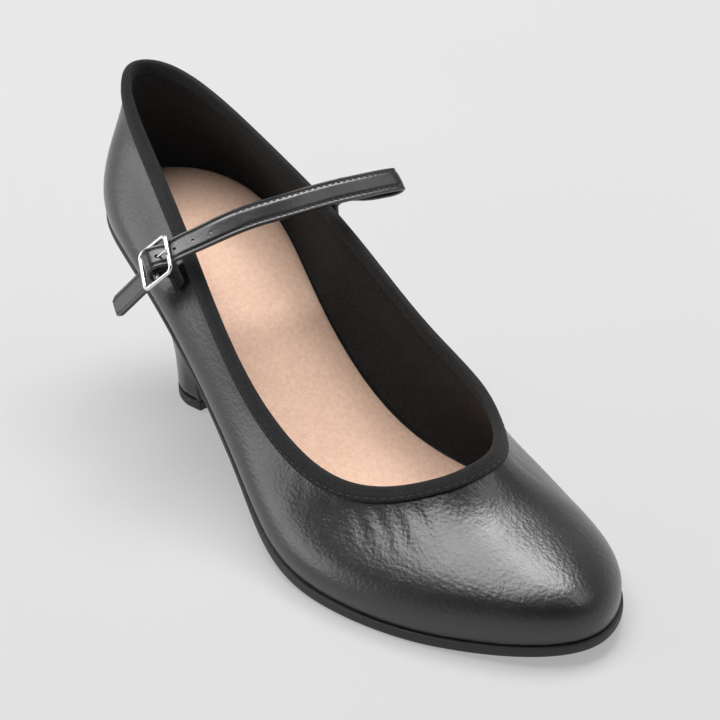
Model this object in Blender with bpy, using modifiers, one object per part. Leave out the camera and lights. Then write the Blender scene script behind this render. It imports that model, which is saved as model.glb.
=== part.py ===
# Character shoe for the right foot, with an instep strap fastened on a centre-bar buckle.
# Metres, +Z up. The toe points to -Y and the inner (medial) side of the foot faces +X.
# The origin is on the floor, inside the heel tip's rest face.
from collections import namedtuple

import bmesh
import bpy
import numpy as np
from mathutils import Matrix

MM = 0.001

# Driving dimensions of the last
PLAN_LENGTH = 226 * MM      # back of the heel seat to the tip of the toe, seen from above
BALL_WIDTH = 82 * MM        # sole width across the ball
SEAT_HEIGHT = 65 * MM       # outsole's top above the floor, at the back of the heel
COLLAR_HEIGHT = 107 * MM    # top edge above the floor, at the back of the heel
HEEL_REST_ALONG = 37 * MM   # the origin, from the back of the heel seat
HEEL_BREAST = 72 * MM       # front of the heel where it meets the sole, from the same place
HEEL_HOLLOW = 1.2 * MM      # how far the middle of the heel's front is hollowed
HEEL_TIP = 3.6 * MM         # height of the heel's tip piece

# The strap and its buckle
STRAP_WIDTH = 7.9 * MM
STRAP_THICKNESS = 1.4 * MM
STRAP_END = 0.72            # share of the width left at the strap's clipped free end
CHAPE_WIDTH = 7.6 * MM      # elastic that ties the buckle to the shoe
CHAPE_THICKNESS = 0.6 * MM
BUCKLE_WIDTH = 13.9 * MM    # outer width, across the strap
BUCKLE_LENGTH = 14.2 * MM   # outer length, along the strap
BUCKLE_CORNER = 1.6 * MM    # at the middle of the wire
FRAME_RADIUS = 0.65 * MM    # half the wire of the buckle's frame
BAR_RADIUS = 0.5 * MM       # half the wire of its centre bar
PRONG_RADIUS = 0.4 * MM
PRONG_REACH = 7.6 * MM      # from the centre bar to the prong's tip
PRONG_LIFT = 0.2 * MM       # rise of the tip over the bar's loop

# Thicknesses and fits
WALL = 1.7 * MM             # vamp and quarters with their lining
TAPE = 0.7 * MM             # woven tape over the top edge
TAPE_OUTSIDE = 5.2 * MM     # its width down the outside
TAPE_INSIDE = 4.0 * MM      # its width down the lining
SOLE_FRONT = 3.4 * MM       # outsole under the toes
SOLE_SEAT = 2.2 * MM        # outsole on the heel seat
MARGIN_FRONT = 0.9 * MM     # outsole's edge beyond the upper, round the toe
MARGIN_SEAT = 0.1 * MM      # the same on the heel seat
SOLE_EDGE = 0.5 * MM        # rounding of the outsole's lower edge
SOCK = 2.2 * MM             # insole's thickness
GAP = 0.3 * MM              # between pieces that touch

# How finely the shapes are divided
COLUMNS = 96                # round the foot, an even number
ROWS = 11                   # from the feather line to the top edge
RINGS = (0.0, 0.4, 0.85)    # from a sole's outline to its middle
HEEL_SIDE = 16              # columns from the heel's back to its front corner
HEEL_FRONT = 8              # columns across the heel's front, an even number
BAND_STEPS = 3              # sections of a band for each station
ARC_STEPS = 4               # points round a corner of the buckle

# One rib of the upper: it starts on the feather line, where the upper meets the sole, and ends
# on the top edge. Places are percent of PLAN_LENGTH from the back of the heel, and percent of
# BALL_WIDTH from the middle line, inner side plus. Heights are percent of COLLAR_HEIGHT.
# Leans are degrees from level at the rib's two ends, and pulls say how far each lean is held,
# as a share of the rib's chord.
Rib = namedtuple("Rib", "foot_along foot_side top_along top_side top_height "
                        "foot_lean top_lean foot_pull top_pull")
RIBS = {
    "heel_back":       Rib(0.0,    0.0,  2.7,  -3.5, 100, 70, 102, .38, .29),
    "heel_outer_turn": Rib(3.6,  -22.5,  4.7, -14.5,  97, 72,  98, .36, .29),
    "heel_outer":      Rib(14.7, -35.0, 15.5, -21.0,  82, 72,  91, .36, .31),
    "quarter_outer":   Rib(31.0, -38.5, 31.5, -30.5,  65, 68,  88, .36, .34),
    "waist_outer":     Rib(49.0, -43.0, 47.5, -36.0,  42, 66,  82, .37, .34),
    "shank_outer":     Rib(63.5, -50.0, 61.0, -33.5,  30, 68,  72, .37, .34),
    "ball_outer":      Rib(78.0, -43.0, 70.0, -22.5,  29, 70,  58, .38, .36),
    "toe_outer":       Rib(90.5, -24.0, 74.5,  -8.5,  32, 73,  46, .35, .40),
    "toe_tip":         Rib(100.0, 11.0, 76.0,   4.0,  34, 74,  46, .33, .40),
    "toe_inner":       Rib(94.5,  34.0, 75.7,  15.5,  35, 72,  54, .35, .39),
    "ball_inner":      Rib(82.5,  46.0, 71.7,  28.5,  35, 69,  76, .38, .36),
    "shank_inner":     Rib(68.5,  48.5, 64.0,  37.5,  38, 67,  92, .40, .34),
    "waist_inner":     Rib(52.5,  31.0, 51.5,  36.5,  47, 58,  98, .41, .33),
    "quarter_inner":   Rib(33.0,  25.5, 36.3,  30.5,  66, 65,  97, .38, .32),
    "heel_inner":      Rib(15.5,  32.0, 20.0,  22.0,  83, 71,  95, .37, .30),
    "heel_inner_turn": Rib(4.3,   22.5,  7.3,   9.5,  97, 71,  99, .36, .28),
}

# The outsole's top seen from the side: percent of PLAN_LENGTH, and percent of SEAT_HEIGHT
Station = namedtuple("Station", "along height")
BOTTOM_LINE = (
    Station(-3, 101), Station(9, 94.5), Station(23, 82), Station(39, 48), Station(55, 15),
    Station(66, 6.0), Station(74, 5.1), Station(83, 5.1), Station(92, 7.0), Station(103, 12),
)

# The heel's tip seen from above, in mm: places from the back of the heel seat, and half widths
TipShape = namedtuple("TipShape", "back widest front half_width corner_half_width")
TIP_SHAPE = TipShape(27.5, 44, 50, 14.3, 12.9)

# How far the heel has spread from its tip's outline to the sole's, at shares of its height
Spread = namedtuple("Spread", "height back side breast")
HEEL_SPREAD = (
    Spread(0.0, 0.0, 0.0, 0.0), Spread(0.10, .008, .005, -.06), Spread(0.20, .035, .02, -.07),
    Spread(0.30, .075, .055, .01), Spread(0.42, .15, .13, .21), Spread(0.56, .285, .27, .50),
    Spread(0.70, .46, .46, .75), Spread(0.86, .72, .73, .93), Spread(1.0, 1.0, 1.0, 1.0),
)

# Places in mm: side from the middle line (inner side plus), along from the back of the heel
# seat, and height. A band's width points to the heel there, turned to the inner side and
# leaning up by these degrees.
Place = namedtuple("Place", "side along height turn lean")
BUCKLE_PLACE = Place(-36.0, 68.3, 70.4, 16.6, 24.8)
BUCKLE_DROP = 57.2          # degrees from level, of the strap's run through the buckle
BUCKLE_SKEW = 8.5           # degrees that the buckle has turned on the strap
STRAP_ARCH = (
    Place(-30.0, 71.9, 75.0, 12, 27), Place(-24.7, 73.6, 76.9, 6, 30),
    Place(-19.3, 75.5, 78.9, 3, 33), Place(-8.2, 77.2, 81.1, 0, 37), Place(2.8, 79.1, 82.1, 0, 40),
    Place(18.2, 80.2, 82.4, 0, 42), Place(33.3, 81.6, 82.0, 0, 42), Place(41.0, 81.9, 81.35, -2, 41),
    Place(43.4, 81.9, 81.0, -2, 41), Place(44.5, 81.6, 80.65, -2, 41), Place(45.0, 80.85, 79.8, -2, 41),
    Place(44.5, 80.1, 78.95, -2, 41), Place(43.4, 79.8, 78.6, -2, 41), Place(40.5, 79.1, 78.4, -3, 40),
    Place(34.0, 76.8, 78.3, -5, 37), Place(29.0, 73.8, 78.3, -7, 33),
)

# The strap's way through the buckle, and the elastic's way round its centre bar, in mm from the
# bar: past it toward the strap's free end, and out from the shoe
Thread = namedtuple("Thread", "past out")
STRAP_THREAD = (
    Thread(23.4, -1.4), Thread(22.0, -1.4), Thread(16.0, -1.7), Thread(10.0, -2.0),
    Thread(6.2, -1.95), Thread(4.75, -1.4), Thread(3.15, 0.7), Thread(1.75, 2.2), Thread(0.0, 2.9),
    Thread(-1.65, 2.25), Thread(-3.1, 0.65), Thread(-4.8, -1.3), Thread(-6.3, -1.95),
)
CHAPE_THREAD = (
    Thread(1.1, -9.9), Thread(0.6, -8.2), Thread(0.5, -6.4), Thread(0.55, -4.6), Thread(0.85, -2.2),
    Thread(1.15, -0.6), Thread(1.05, 0.5), Thread(0.0, 1.15), Thread(-1.05, 0.5), Thread(-1.15, -0.6),
    Thread(-0.85, -2.2), Thread(-0.55, -4.6), Thread(-0.5, -6.2), Thread(-0.5, -7.6),
)

# Where the strap and the elastic are fastened to the shoe, lowest first: mm from the back of the
# heel seat, and mm below the top edge
Spot = namedtuple("Spot", "along drop")
STRAP_ROOT = (Spot(71.0, 5.5), Spot(71.0, 3.6), Spot(71.0, 1.6))
CHAPE_ROOT = (Spot(65.7, 13.0), Spot(66.6, 11.0), Spot(67.5, 9.0))


def unit(vectors):
    return vectors / np.linalg.norm(vectors, axis=-1, keepdims=True)


def blend(low, high, share):
    return low + (high - low) * share


def ease(value, start, end):
    """0 before start, 1 after end, and smooth between."""
    share = np.clip((value - start) / (end - start), 0.0, 1.0)
    return share * share * (3.0 - 2.0 * share)


def closed_spline(knots, values, period, at):
    """A smooth closed curve through the values, which stand at the knots round one period."""
    count = len(knots)
    spans = np.diff(np.append(knots, knots[0] + period))
    matrix = np.zeros((count, count))
    right = np.zeros((count, values.shape[1]))
    for this in range(count):
        before, after = (this - 1) % count, (this + 1) % count
        matrix[this, before] += spans[before]
        matrix[this, this] += 2 * (spans[before] + spans[this])
        matrix[this, after] += spans[this]
        slope_after = (values[after] - values[this]) / spans[this]
        slope_before = (values[this] - values[before]) / spans[before]
        right[this] = 6 * (slope_after - slope_before)
    bends = np.linalg.solve(matrix, right)
    where = (np.asarray(at) - knots[0]) % period + knots[0]
    low = np.clip(np.searchsorted(knots, where, side="right") - 1, 0, count - 1)
    return spline_span(knots[low], spans[low], values, bends, low, (low + 1) % count, where)


def open_spline(knots, values, at):
    """A smooth open curve through the values, straight at its ends."""
    count = len(knots)
    spans = np.diff(knots)
    matrix = np.eye(count)
    right = np.zeros((count, values.shape[1]))
    for this in range(1, count - 1):
        matrix[this, this - 1] = spans[this - 1]
        matrix[this, this] = 2 * (spans[this - 1] + spans[this])
        matrix[this, this + 1] = spans[this]
        slope_after = (values[this + 1] - values[this]) / spans[this]
        slope_before = (values[this] - values[this - 1]) / spans[this - 1]
        right[this] = 6 * (slope_after - slope_before)
    bends = np.linalg.solve(matrix, right)
    where = np.asarray(at, float)
    low = np.clip(np.searchsorted(knots, where, side="right") - 1, 0, count - 2)
    return spline_span(knots[low], spans[low], values, bends, low, low + 1, where)


def spline_span(start, span, values, bends, low, high, where):
    before = (where - start)[:, None]
    span = span[:, None]
    after = span - before
    cubic = (bends[low] * after ** 3 + bends[high] * before ** 3) / (6 * span)
    lines = (values[low] / span - bends[low] * span / 6) * after
    lines += (values[high] / span - bends[high] * span / 6) * before
    return cubic + lines


def lengths_along(points):
    """How far along an open run of points each of them lies."""
    return np.append(0.0, np.cumsum(np.linalg.norm(np.diff(points, axis=0), axis=1)))


def place(side, along, height):
    """Points in the shoe's frame from places measured along the last."""
    return np.stack([side, HEEL_REST_ALONG - along, height], axis=-1)


def bottom_height(along):
    """Height of the outsole's top at a place along the last."""
    knots = np.array([station.along for station in BOTTOM_LINE]) / 100 * PLAN_LENGTH
    heights = np.array([station.height for station in BOTTOM_LINE]) / 100 * SEAT_HEIGHT
    along = np.asarray(along, float)
    return open_spline(knots, heights[:, None], along.ravel())[:, 0].reshape(along.shape)


def rib_values(count):
    """The ribs' columns in metres, degrees and shares, read at evenly spaced places."""
    ribs = np.array(list(RIBS.values()), float)
    ribs[:, [0, 2]] *= PLAN_LENGTH / 100
    ribs[:, [1, 3]] *= BALL_WIDTH / 100
    ribs[:, 4] *= COLLAR_HEIGHT / 100
    chords = np.linalg.norm(np.roll(ribs[:, :2], -1, axis=0) - ribs[:, :2], axis=1)
    knots = np.concatenate([[0.0], np.cumsum(chords)[:-1]])
    period = chords.sum()
    at = np.arange(count) * period / count
    return Rib(*closed_spline(knots, ribs, period, at).T)


class Last:
    """The outside of the upper as one curved rib for each column round the foot."""

    def __init__(self, count):
        self.ribs = rib_values(count)
        ribs = self.ribs
        self.foot = place(ribs.foot_side, ribs.foot_along, bottom_height(ribs.foot_along))
        self.top = place(ribs.top_side, ribs.top_along, ribs.top_height)
        self.foot_out = plan_outward(self.foot)
        foot_lean, top_lean = np.radians(ribs.foot_lean)[:, None], np.radians(ribs.top_lean)[:, None]
        up = np.array([0.0, 0.0, 1.0])
        chord = np.linalg.norm(self.top - self.foot, axis=1)[:, None]
        start = np.cos(foot_lean) * self.foot_out + np.sin(foot_lean) * up
        end = -np.cos(top_lean) * plan_outward(self.top) + np.sin(top_lean) * up
        self.low = self.foot + start * chord * ribs.foot_pull[:, None]
        self.high = self.top - end * chord * ribs.top_pull[:, None]

    def point(self, share):
        """A point of each rib, at its own share of the way from the feather line to the top."""
        share = np.asarray(share)[:, None]
        rest = 1 - share
        return (rest ** 3 * self.foot + 3 * rest ** 2 * share * self.low
                + 3 * rest * share ** 2 * self.high + share ** 3 * self.top)

    def outward(self, share):
        """Unit vectors square to the upper, pointing out of the shoe."""
        step = 0.01
        across = self.point(np.minimum(share + step, 1)) - self.point(np.maximum(share - step, 0))
        here = self.point(share)
        around = np.roll(here, -1, axis=0) - np.roll(here, 1, axis=0)
        return unit(np.cross(around, across))

    def share_at_drop(self, drop):
        """How far up each rib a point lies that is this far below the top edge."""
        shares = np.linspace(1.0, 0.5, 41)
        curve = np.array([self.point(np.full(len(self.foot), share)) for share in shares])
        lengths = np.cumsum(np.linalg.norm(np.diff(curve, axis=0), axis=2), axis=0)
        lengths = np.vstack([np.zeros(len(self.foot)), lengths])
        return np.array([np.interp(drop, lengths[:, rib], shares) for rib in range(len(self.foot))])

    def at_drop(self, drop, lift):
        """Points this far below the top edge, lifted off the upper's outside."""
        share = self.share_at_drop(drop)
        return self.point(share) + self.outward(share) * lift

    def beside_edge(self, along, inner, drop, lift):
        """One such point, on the inner or the outer side at a place along the last."""
        points = self.at_drop(drop, lift)
        points = points[points[:, 0] > 0] if inner else points[points[:, 0] < 0]
        points = points[np.argsort(points[:, 1])]
        back = HEEL_REST_ALONG - along
        side, height = (np.interp(back, points[:, 1], points[:, axis]) for axis in (0, 2))
        return np.array([side, back, height])


class Buckle:
    """Directions at the buckle: past its bar along the strap, across the strap, and out."""

    def __init__(self, skew=0.0):
        self.centre = shoe_place(BUCKLE_PLACE)
        across = width_direction(BUCKLE_PLACE)
        level = unit(np.cross([0.0, 0.0, 1.0], across))
        down = np.cross(level, across)
        drop, turn = np.radians(BUCKLE_DROP), np.radians(skew)
        past = np.cos(drop) * level + np.sin(drop) * down
        self.past = np.cos(turn) * past + np.sin(turn) * across
        self.across = np.cos(turn) * across - np.sin(turn) * past
        self.out = np.cross(self.across, self.past)

    def point(self, past, across, out):
        return self.centre + self.past * past + self.across * across + self.out * out

    def matrix(self, past=0.0, out=0.0):
        """A frame at a point of the buckle: X points out, Y across the strap and Z past the bar."""
        turned = Matrix(np.column_stack([self.out, self.across, self.past]).tolist()).to_4x4()
        turned.translation = self.point(past, 0.0, out)
        return turned


def plan_outward(curve):
    """Level unit vectors that point out of a closed curve."""
    step = np.roll(curve, -1, axis=0) - np.roll(curve, 1, axis=0)
    return unit(np.stack([step[:, 1], -step[:, 0], 0 * step[:, 0]], axis=-1))


def shoe_place(spot):
    return place(spot.side * MM, spot.along * MM, spot.height * MM)


def width_direction(spot):
    turn, lean = np.radians(spot.turn), np.radians(spot.lean)
    return np.array([np.sin(turn) * np.cos(lean), np.cos(turn) * np.cos(lean), np.sin(lean)])


def finish(name, color, roughness, metallic=0.0):
    material = bpy.data.materials.new(name)
    material.use_nodes = True
    shader = material.node_tree.nodes["Principled BSDF"]
    shader.inputs["Base Color"].default_value = (*color, 1.0)
    shader.inputs["Roughness"].default_value = roughness
    shader.inputs["Metallic"].default_value = metallic
    material.diffuse_color = (*color, 1.0)
    return material


def new_object(name, mesh_or_curve, material, collection):
    made = bpy.data.objects.new(name, mesh_or_curve)
    mesh_or_curve.materials.append(material)
    collection.objects.link(made)
    return made


def new_cutter(name, mesh, matrix, collection):
    cutter = bpy.data.objects.new(name, settle(name, mesh))
    cutter.matrix_world = matrix
    cutter.hide_render = True
    cutter.display_type = "WIRE"
    collection.objects.link(cutter)
    return cutter


def add_boolean(solid, other, operation):
    boolean = solid.modifiers.new(operation.lower(), "BOOLEAN")
    boolean.operation = operation
    boolean.object = other


def skinned_mesh(name, loops, ends="open", blunt=0):
    """A mesh through rows of points, each row closed on itself. Its ends are open, filled, or joined."""
    mesh = bmesh.new()
    rows = [[mesh.verts.new(point) for point in loop] for loop in loops]
    following = rows[1:] + rows[:1] if ends == "joined" else rows[1:]
    for low, high in zip(rows, following):
        for this in range(len(low)):
            after = (this + 1) % len(low)
            mesh.faces.new((low[this], low[after], high[after], high[this]))
    if ends == "filled":
        fill_ring(mesh, rows[0], blunt)
        fill_ring(mesh, rows[-1], blunt)
    return settle(name, mesh)


def fill_ring(mesh, ring, blunt):
    """Closes a ring that is the same on both sides of its first and middle points.
    A blunt end is one face, which takes this many points on each side of the middle point."""
    half = len(ring) // 2
    for this in range(half - blunt):
        corners = [ring[this], ring[this + 1], ring[-this - 1], ring[-this]]
        if this == 0:
            corners = [ring[0], ring[1], ring[-1]]
        elif this == half - 1:
            corners = [ring[this], ring[half], ring[-this]]
        mesh.faces.new(corners)
    if blunt:
        mesh.faces.new(ring[half - blunt:half + blunt + 1])


def settle(name, mesh):
    bmesh.ops.recalc_face_normals(mesh, faces=mesh.faces)
    data = bpy.data.meshes.new(name)
    mesh.to_mesh(data)
    mesh.free()
    return data


def band_mesh(name, centres, widths, width, thickness, end_share=1.0):
    """A flat band through stations, with their width directions. Its first end may be narrower."""
    centres, widths = np.array(centres), np.array(widths)
    knots = lengths_along(centres)
    shares = np.linspace(0, len(knots) - 1, (len(knots) - 1) * BAND_STEPS + 1)
    at = np.interp(shares, np.arange(len(knots)), knots)
    middle = open_spline(knots, centres, at)
    forward = unit(np.gradient(middle, at, axis=0))
    across = open_spline(knots, widths, at)
    across = unit(across - forward * (across * forward).sum(axis=1)[:, None])
    half_width = across * 0.5 * width
    half_width[0] *= end_share
    half_thickness = np.cross(across, forward) * 0.5 * thickness
    corners = [middle + half_width + half_thickness, middle - half_width + half_thickness,
               middle - half_width - half_thickness, middle + half_width - half_thickness]
    return skinned_mesh(name, np.stack(corners, axis=1), "filled")


def wire_mesh(name, points, radius, closed=False):
    """A round wire through points, as one closed mesh."""
    curve = bpy.data.curves.new(name, "CURVE")
    curve.dimensions = "3D"
    curve.bevel_depth = radius
    curve.bevel_resolution = 2
    curve.use_fill_caps = not closed
    spline = curve.splines.new("POLY")
    spline.points.add(len(points) - 1)
    for spline_point, point in zip(spline.points, points):
        spline_point.co = (*point, 1.0)
    spline.use_cyclic_u = closed
    wire = bpy.data.objects.new(name, curve)
    bpy.context.scene.collection.objects.link(wire)
    bpy.context.view_layer.update()
    evaluated = wire.evaluated_get(bpy.context.evaluated_depsgraph_get())
    mesh = bmesh.new()
    mesh.from_mesh(bpy.data.meshes.new_from_object(evaluated))
    bmesh.ops.remove_doubles(mesh, verts=mesh.verts, dist=0.01 * MM)
    bpy.data.objects.remove(wire, do_unlink=True)
    return mesh


def rings_inside(outline):
    """Rings from a closed outline to a line down its middle, seen from above."""
    along = HEEL_REST_ALONG - outline[:, 1]
    mirrored = np.roll(outline[::-1], 1, axis=0)
    end = 0.085 * PLAN_LENGTH
    middle_along = np.clip((along + np.roll(along[::-1], 1)) / 2, along.min() + end, along.max() - end)
    order = np.argsort(middle_along, kind="stable")
    middle_side = (outline[:, 0] + mirrored[:, 0]) / 2
    smooth_side = np.interp(middle_along, middle_along[order], middle_side[order])
    middle = place(smooth_side, middle_along, 0 * along)
    return [blend(outline, middle, share) for share in RINGS]


def on_height(ring, height_above):
    """A ring seen from above, set at a height over the outsole's top."""
    along = HEEL_REST_ALONG - ring[:, 1]
    return np.column_stack([ring[:, 0], ring[:, 1], bottom_height(along) + height_above])


def under_sole(ring):
    """A ring seen from above, set just under the outsole."""
    return on_height(ring, -sole_thickness(HEEL_REST_ALONG - ring[:, 1]) - GAP)


def sole_outline(last, extra=0.0):
    frontness = ease(last.ribs.foot_along, 0.35 * PLAN_LENGTH, 0.6 * PLAN_LENGTH)
    margin = blend(MARGIN_SEAT, MARGIN_FRONT, frontness)
    return last.foot + last.foot_out * (margin + extra)[:, None]


def sole_thickness(along):
    return blend(SOLE_SEAT, SOLE_FRONT, ease(along, 0.3 * PLAN_LENGTH, 0.62 * PLAN_LENGTH))


def make_upper(last, material, collection):
    edge = last.share_at_drop(TAPE + GAP)
    rows = [last.point(edge * row / (ROWS - 1)) for row in range(ROWS)]
    rows[0] = rows[0] + np.array([0.0, 0.0, GAP])
    upper = new_object("upper", skinned_mesh("upper", rows), material, collection)
    wall = upper.modifiers.new("wall", "SOLIDIFY")
    wall.thickness = WALL
    wall.offset = -1.0


def make_binding(last, material, collection):
    """Woven tape folded over the upper's top edge: drops below the edge, and lifts off the outside."""
    outer, inner = GAP + TAPE, -(WALL + GAP + TAPE)
    section = [(TAPE_OUTSIDE, GAP), (TAPE_OUTSIDE, outer), (0.5 * TAPE, 0.8 * outer), (0.0, -0.2 * WALL),
               (0.0, -0.8 * WALL), (0.5 * TAPE, inner + 0.2 * outer), (TAPE_INSIDE, inner),
               (TAPE_INSIDE, inner + TAPE), (TAPE, inner + TAPE), (TAPE, GAP)]
    rows = [last.at_drop(drop, lift) for drop, lift in section]
    new_object("topline_binding", skinned_mesh("topline_binding", rows, "joined"), material, collection)


def make_outsole(last, material, collection):
    top_rings = [on_height(ring, 0.0) for ring in rings_inside(sole_outline(last))]
    lowered = []
    for extra, part in ((0.15 * MM, 0.3), (0.15 * MM, 0.75), (-SOLE_EDGE, 1.0)):
        outline = sole_outline(last, extra)
        along = HEEL_REST_ALONG - outline[:, 1]
        lowered.append(on_height(outline, -part * sole_thickness(along)))
    bottom_rings = []
    for ring in rings_inside(sole_outline(last, -SOLE_EDGE)):
        bottom_rings.append(on_height(ring, -sole_thickness(HEEL_REST_ALONG - ring[:, 1])))
    rows = top_rings[::-1] + lowered + bottom_rings[1:]
    for row in rows:
        row[:, 2] = np.maximum(row[:, 2], 0.0)
    new_object("outsole", skinned_mesh("outsole", rows, "filled"), material, collection)


def make_insole(last, material, collection):
    inset = -(WALL + 2 * GAP)
    outline = last.foot + last.foot_out * inset
    low = [on_height(ring, GAP) for ring in rings_inside(outline)]
    high = [on_height(ring, GAP + SOCK) for ring in rings_inside(outline)]
    high[0] = on_height(outline, GAP + 0.6 * SOCK)
    new_object("insole", skinned_mesh("insole", low[::-1] + high, "filled"), material, collection)


def spaced(run, count):
    """Points evenly spaced along an open run."""
    lengths = lengths_along(run)
    at = np.linspace(0.0, lengths[-1], count)
    return np.column_stack([np.interp(at, lengths, values) for values in run.T])


def heel_ring(outer_run, inner_run):
    """Sides and alongs round the heel: from its back to the outer corner, across the front, and back."""
    outer, inner = spaced(outer_run, HEEL_SIDE + 1), spaced(inner_run, HEEL_SIDE + 1)
    across = np.linspace(0.0, 1.0, HEEL_FRONT + 1)[1:-1, None]
    front = blend(outer[-1], inner[-1], across)
    front[:, 1] -= HEEL_HOLLOW * (1 - (2 * across[:, 0] - 1) ** 2)
    return np.vstack([outer, front, inner[:0:-1]])


def seat_runs(last):
    """The outsole's outline from the back of the heel to each of the heel's front corners."""
    outline = sole_outline(last, -GAP)
    ring = np.column_stack([outline[:, 0], HEEL_REST_ALONG - outline[:, 1]])
    half = len(ring) // 2
    runs = []
    for run in (ring[:half], np.vstack([ring[:1], ring[:half:-1]])):
        behind = run[run[:, 1] < HEEL_BREAST - MM]
        corner_side = np.interp(HEEL_BREAST, run[:, 1], run[:, 0])
        runs.append(np.vstack([behind, [corner_side, HEEL_BREAST]]))
    return runs


def tip_runs(inset=0.0):
    """The same two runs of the heel's tip."""
    back, widest, front, half_width, corner = np.array(TIP_SHAPE) * MM
    turn = np.radians(np.linspace(0, 90, 25))
    side = np.append((half_width - inset) * np.sin(turn), corner - inset)
    along = np.append(widest - (widest - back - inset) * np.cos(turn), front - inset)
    return np.column_stack([-side, along]), np.column_stack([side, along])


def make_heel(last, material, collection):
    seat, tip = heel_ring(*seat_runs(last)), heel_ring(*tip_runs())
    top = under_sole(place(seat[:, 0], seat[:, 1], 0 * seat[:, 0]))
    frontness = ease(seat[:, 1], 0.25 * HEEL_BREAST, HEEL_BREAST)
    rows = []
    for spread in HEEL_SPREAD:
        side = blend(tip[:, 0], seat[:, 0], spread.side)
        along = blend(tip[:, 1], seat[:, 1], blend(spread.back, spread.breast, frontness))
        rows.append(place(side, along, blend(HEEL_TIP + GAP, top[:, 2], spread.height)))
    rows += [under_sole(ring) for ring in rings_inside(top)[1:]]
    mesh = skinned_mesh("heel", rows, "filled", HEEL_FRONT // 2 + 1)
    new_object("heel", mesh, material, collection)


def make_heel_tip(material, collection):
    rows = []
    for inset, height in ((SOLE_EDGE, 0.0), (0.0, SOLE_EDGE), (0.0, HEEL_TIP)):
        ring = heel_ring(*tip_runs(inset))
        rows.append(place(ring[:, 0], ring[:, 1], np.full(len(ring), height)))
    mesh = skinned_mesh("heel_tip", rows, "filled", HEEL_FRONT // 2 + 1)
    new_object("heel_tip", mesh, material, collection)


def root_run(last, spots, inner, lift):
    """Centres and width directions of a band where it lies on the upper, fastened end first."""
    centres, widths = [], []
    for spot in spots:
        heelward, middle, toeward = [
            last.beside_edge((spot.along + step) * MM, inner, spot.drop * MM, lift) for step in (-3, 0, 3)]
        centres.append(middle)
        widths.append(unit(heelward - toeward))
    return centres, widths


def make_strap(last, run, buckle, material, collection, cutters):
    """The strap along its own run past the bar, with the hole that the buckle's prong comes through."""
    centres = [run.point(thread.past * MM, 0.0, thread.out * MM) for thread in STRAP_THREAD]
    centres += [shoe_place(spot) for spot in STRAP_ARCH]
    widths = [run.across] * len(STRAP_THREAD) + [width_direction(spot) for spot in STRAP_ARCH]
    root, root_widths = root_run(last, STRAP_ROOT, True, TAPE + 3 * GAP + 0.5 * STRAP_THICKNESS)
    centres += root[::-1]
    widths += root_widths[::-1]
    mesh = band_mesh("strap", centres, widths, STRAP_WIDTH, STRAP_THICKNESS, STRAP_END)
    strap = new_object("strap", mesh, material, collection)
    hole = bmesh.new()
    radius = PRONG_RADIUS + 1.5 * GAP
    bmesh.ops.create_cone(hole, cap_ends=True, segments=12, radius1=radius, radius2=radius, depth=4 * MM)
    place_at = buckle.matrix(past=-2.6 * MM, out=loop_radius() + 0.5 * PRONG_LIFT)
    add_boolean(strap, new_cutter("prong_hole", hole, place_at, cutters), "DIFFERENCE")


def make_chape(last, buckle, material, collection, cutters):
    """Elastic tape that is fastened below the top edge and folded round the buckle's centre bar."""
    centres, widths = root_run(last, CHAPE_ROOT, False, 2 * GAP + 0.5 * CHAPE_THICKNESS)
    root_width = widths[-1]
    centres += [buckle.point(thread.past * MM, 0.0, thread.out * MM) for thread in CHAPE_THREAD]
    for step in range(len(CHAPE_THREAD)):
        widths.append(unit(blend(root_width, buckle.across, ease(step, 0, 3))))
    mesh = band_mesh("buckle_chape", centres, widths, CHAPE_WIDTH, CHAPE_THICKNESS)
    chape = new_object("buckle_chape", mesh, material, collection)
    slot = bmesh.new()
    bmesh.ops.create_cube(slot, size=1.0)
    reach = 2 * (loop_radius() + PRONG_RADIUS) + 4 * GAP
    bmesh.ops.scale(slot, vec=(reach, 2 * (PRONG_RADIUS + GAP), reach), verts=slot.verts)
    add_boolean(chape, new_cutter("prong_slot", slot, buckle.matrix(), cutters), "DIFFERENCE")


def loop_radius():
    """Radius of the prong's loop round the centre bar, at the middle of its wire."""
    return BAR_RADIUS + GAP + PRONG_RADIUS


def make_buckle_frame(buckle, material, collection, cutters):
    half_past = 0.5 * BUCKLE_LENGTH - FRAME_RADIUS - BUCKLE_CORNER
    half_across = 0.5 * BUCKLE_WIDTH - FRAME_RADIUS - BUCKLE_CORNER
    points = []
    for quarter, (past_sign, across_sign) in enumerate(((1, 1), (-1, 1), (-1, -1), (1, -1))):
        for turn in np.radians(90 * quarter + np.linspace(0, 90, ARC_STEPS + 1)):
            past = past_sign * half_past + BUCKLE_CORNER * np.cos(turn)
            across = across_sign * half_across + BUCKLE_CORNER * np.sin(turn)
            points.append(buckle.point(past, across, 0.0))
    frame_mesh = settle("buckle_frame", wire_mesh("buckle_frame", points, FRAME_RADIUS, closed=True))
    frame = new_object("buckle_frame", frame_mesh, material, collection)
    side = half_across + BUCKLE_CORNER
    ends = [buckle.point(0.0, -side, 0.0), buckle.point(0.0, side, 0.0)]
    bar = wire_mesh("centre_bar", ends, BAR_RADIUS)
    add_boolean(frame, new_cutter("centre_bar", bar, Matrix(), cutters), "UNION")


def make_prong(buckle, material, collection):
    """A wire curled round the centre bar, through the strap, with its tip over the frame."""
    radius = loop_radius()
    points = []
    for turn in np.radians(np.linspace(-165, 90, 12)):
        points.append(buckle.point(radius * np.cos(turn), 0.0, radius * np.sin(turn)))
    points.append(buckle.point(-0.5 * PRONG_REACH, 0.0, radius + 0.5 * PRONG_LIFT))
    points.append(buckle.point(-PRONG_REACH, 0.0, radius + PRONG_LIFT))
    new_object("buckle_prong", settle("buckle_prong", wire_mesh("buckle_prong", points, PRONG_RADIUS)),
               material, collection)


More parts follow.
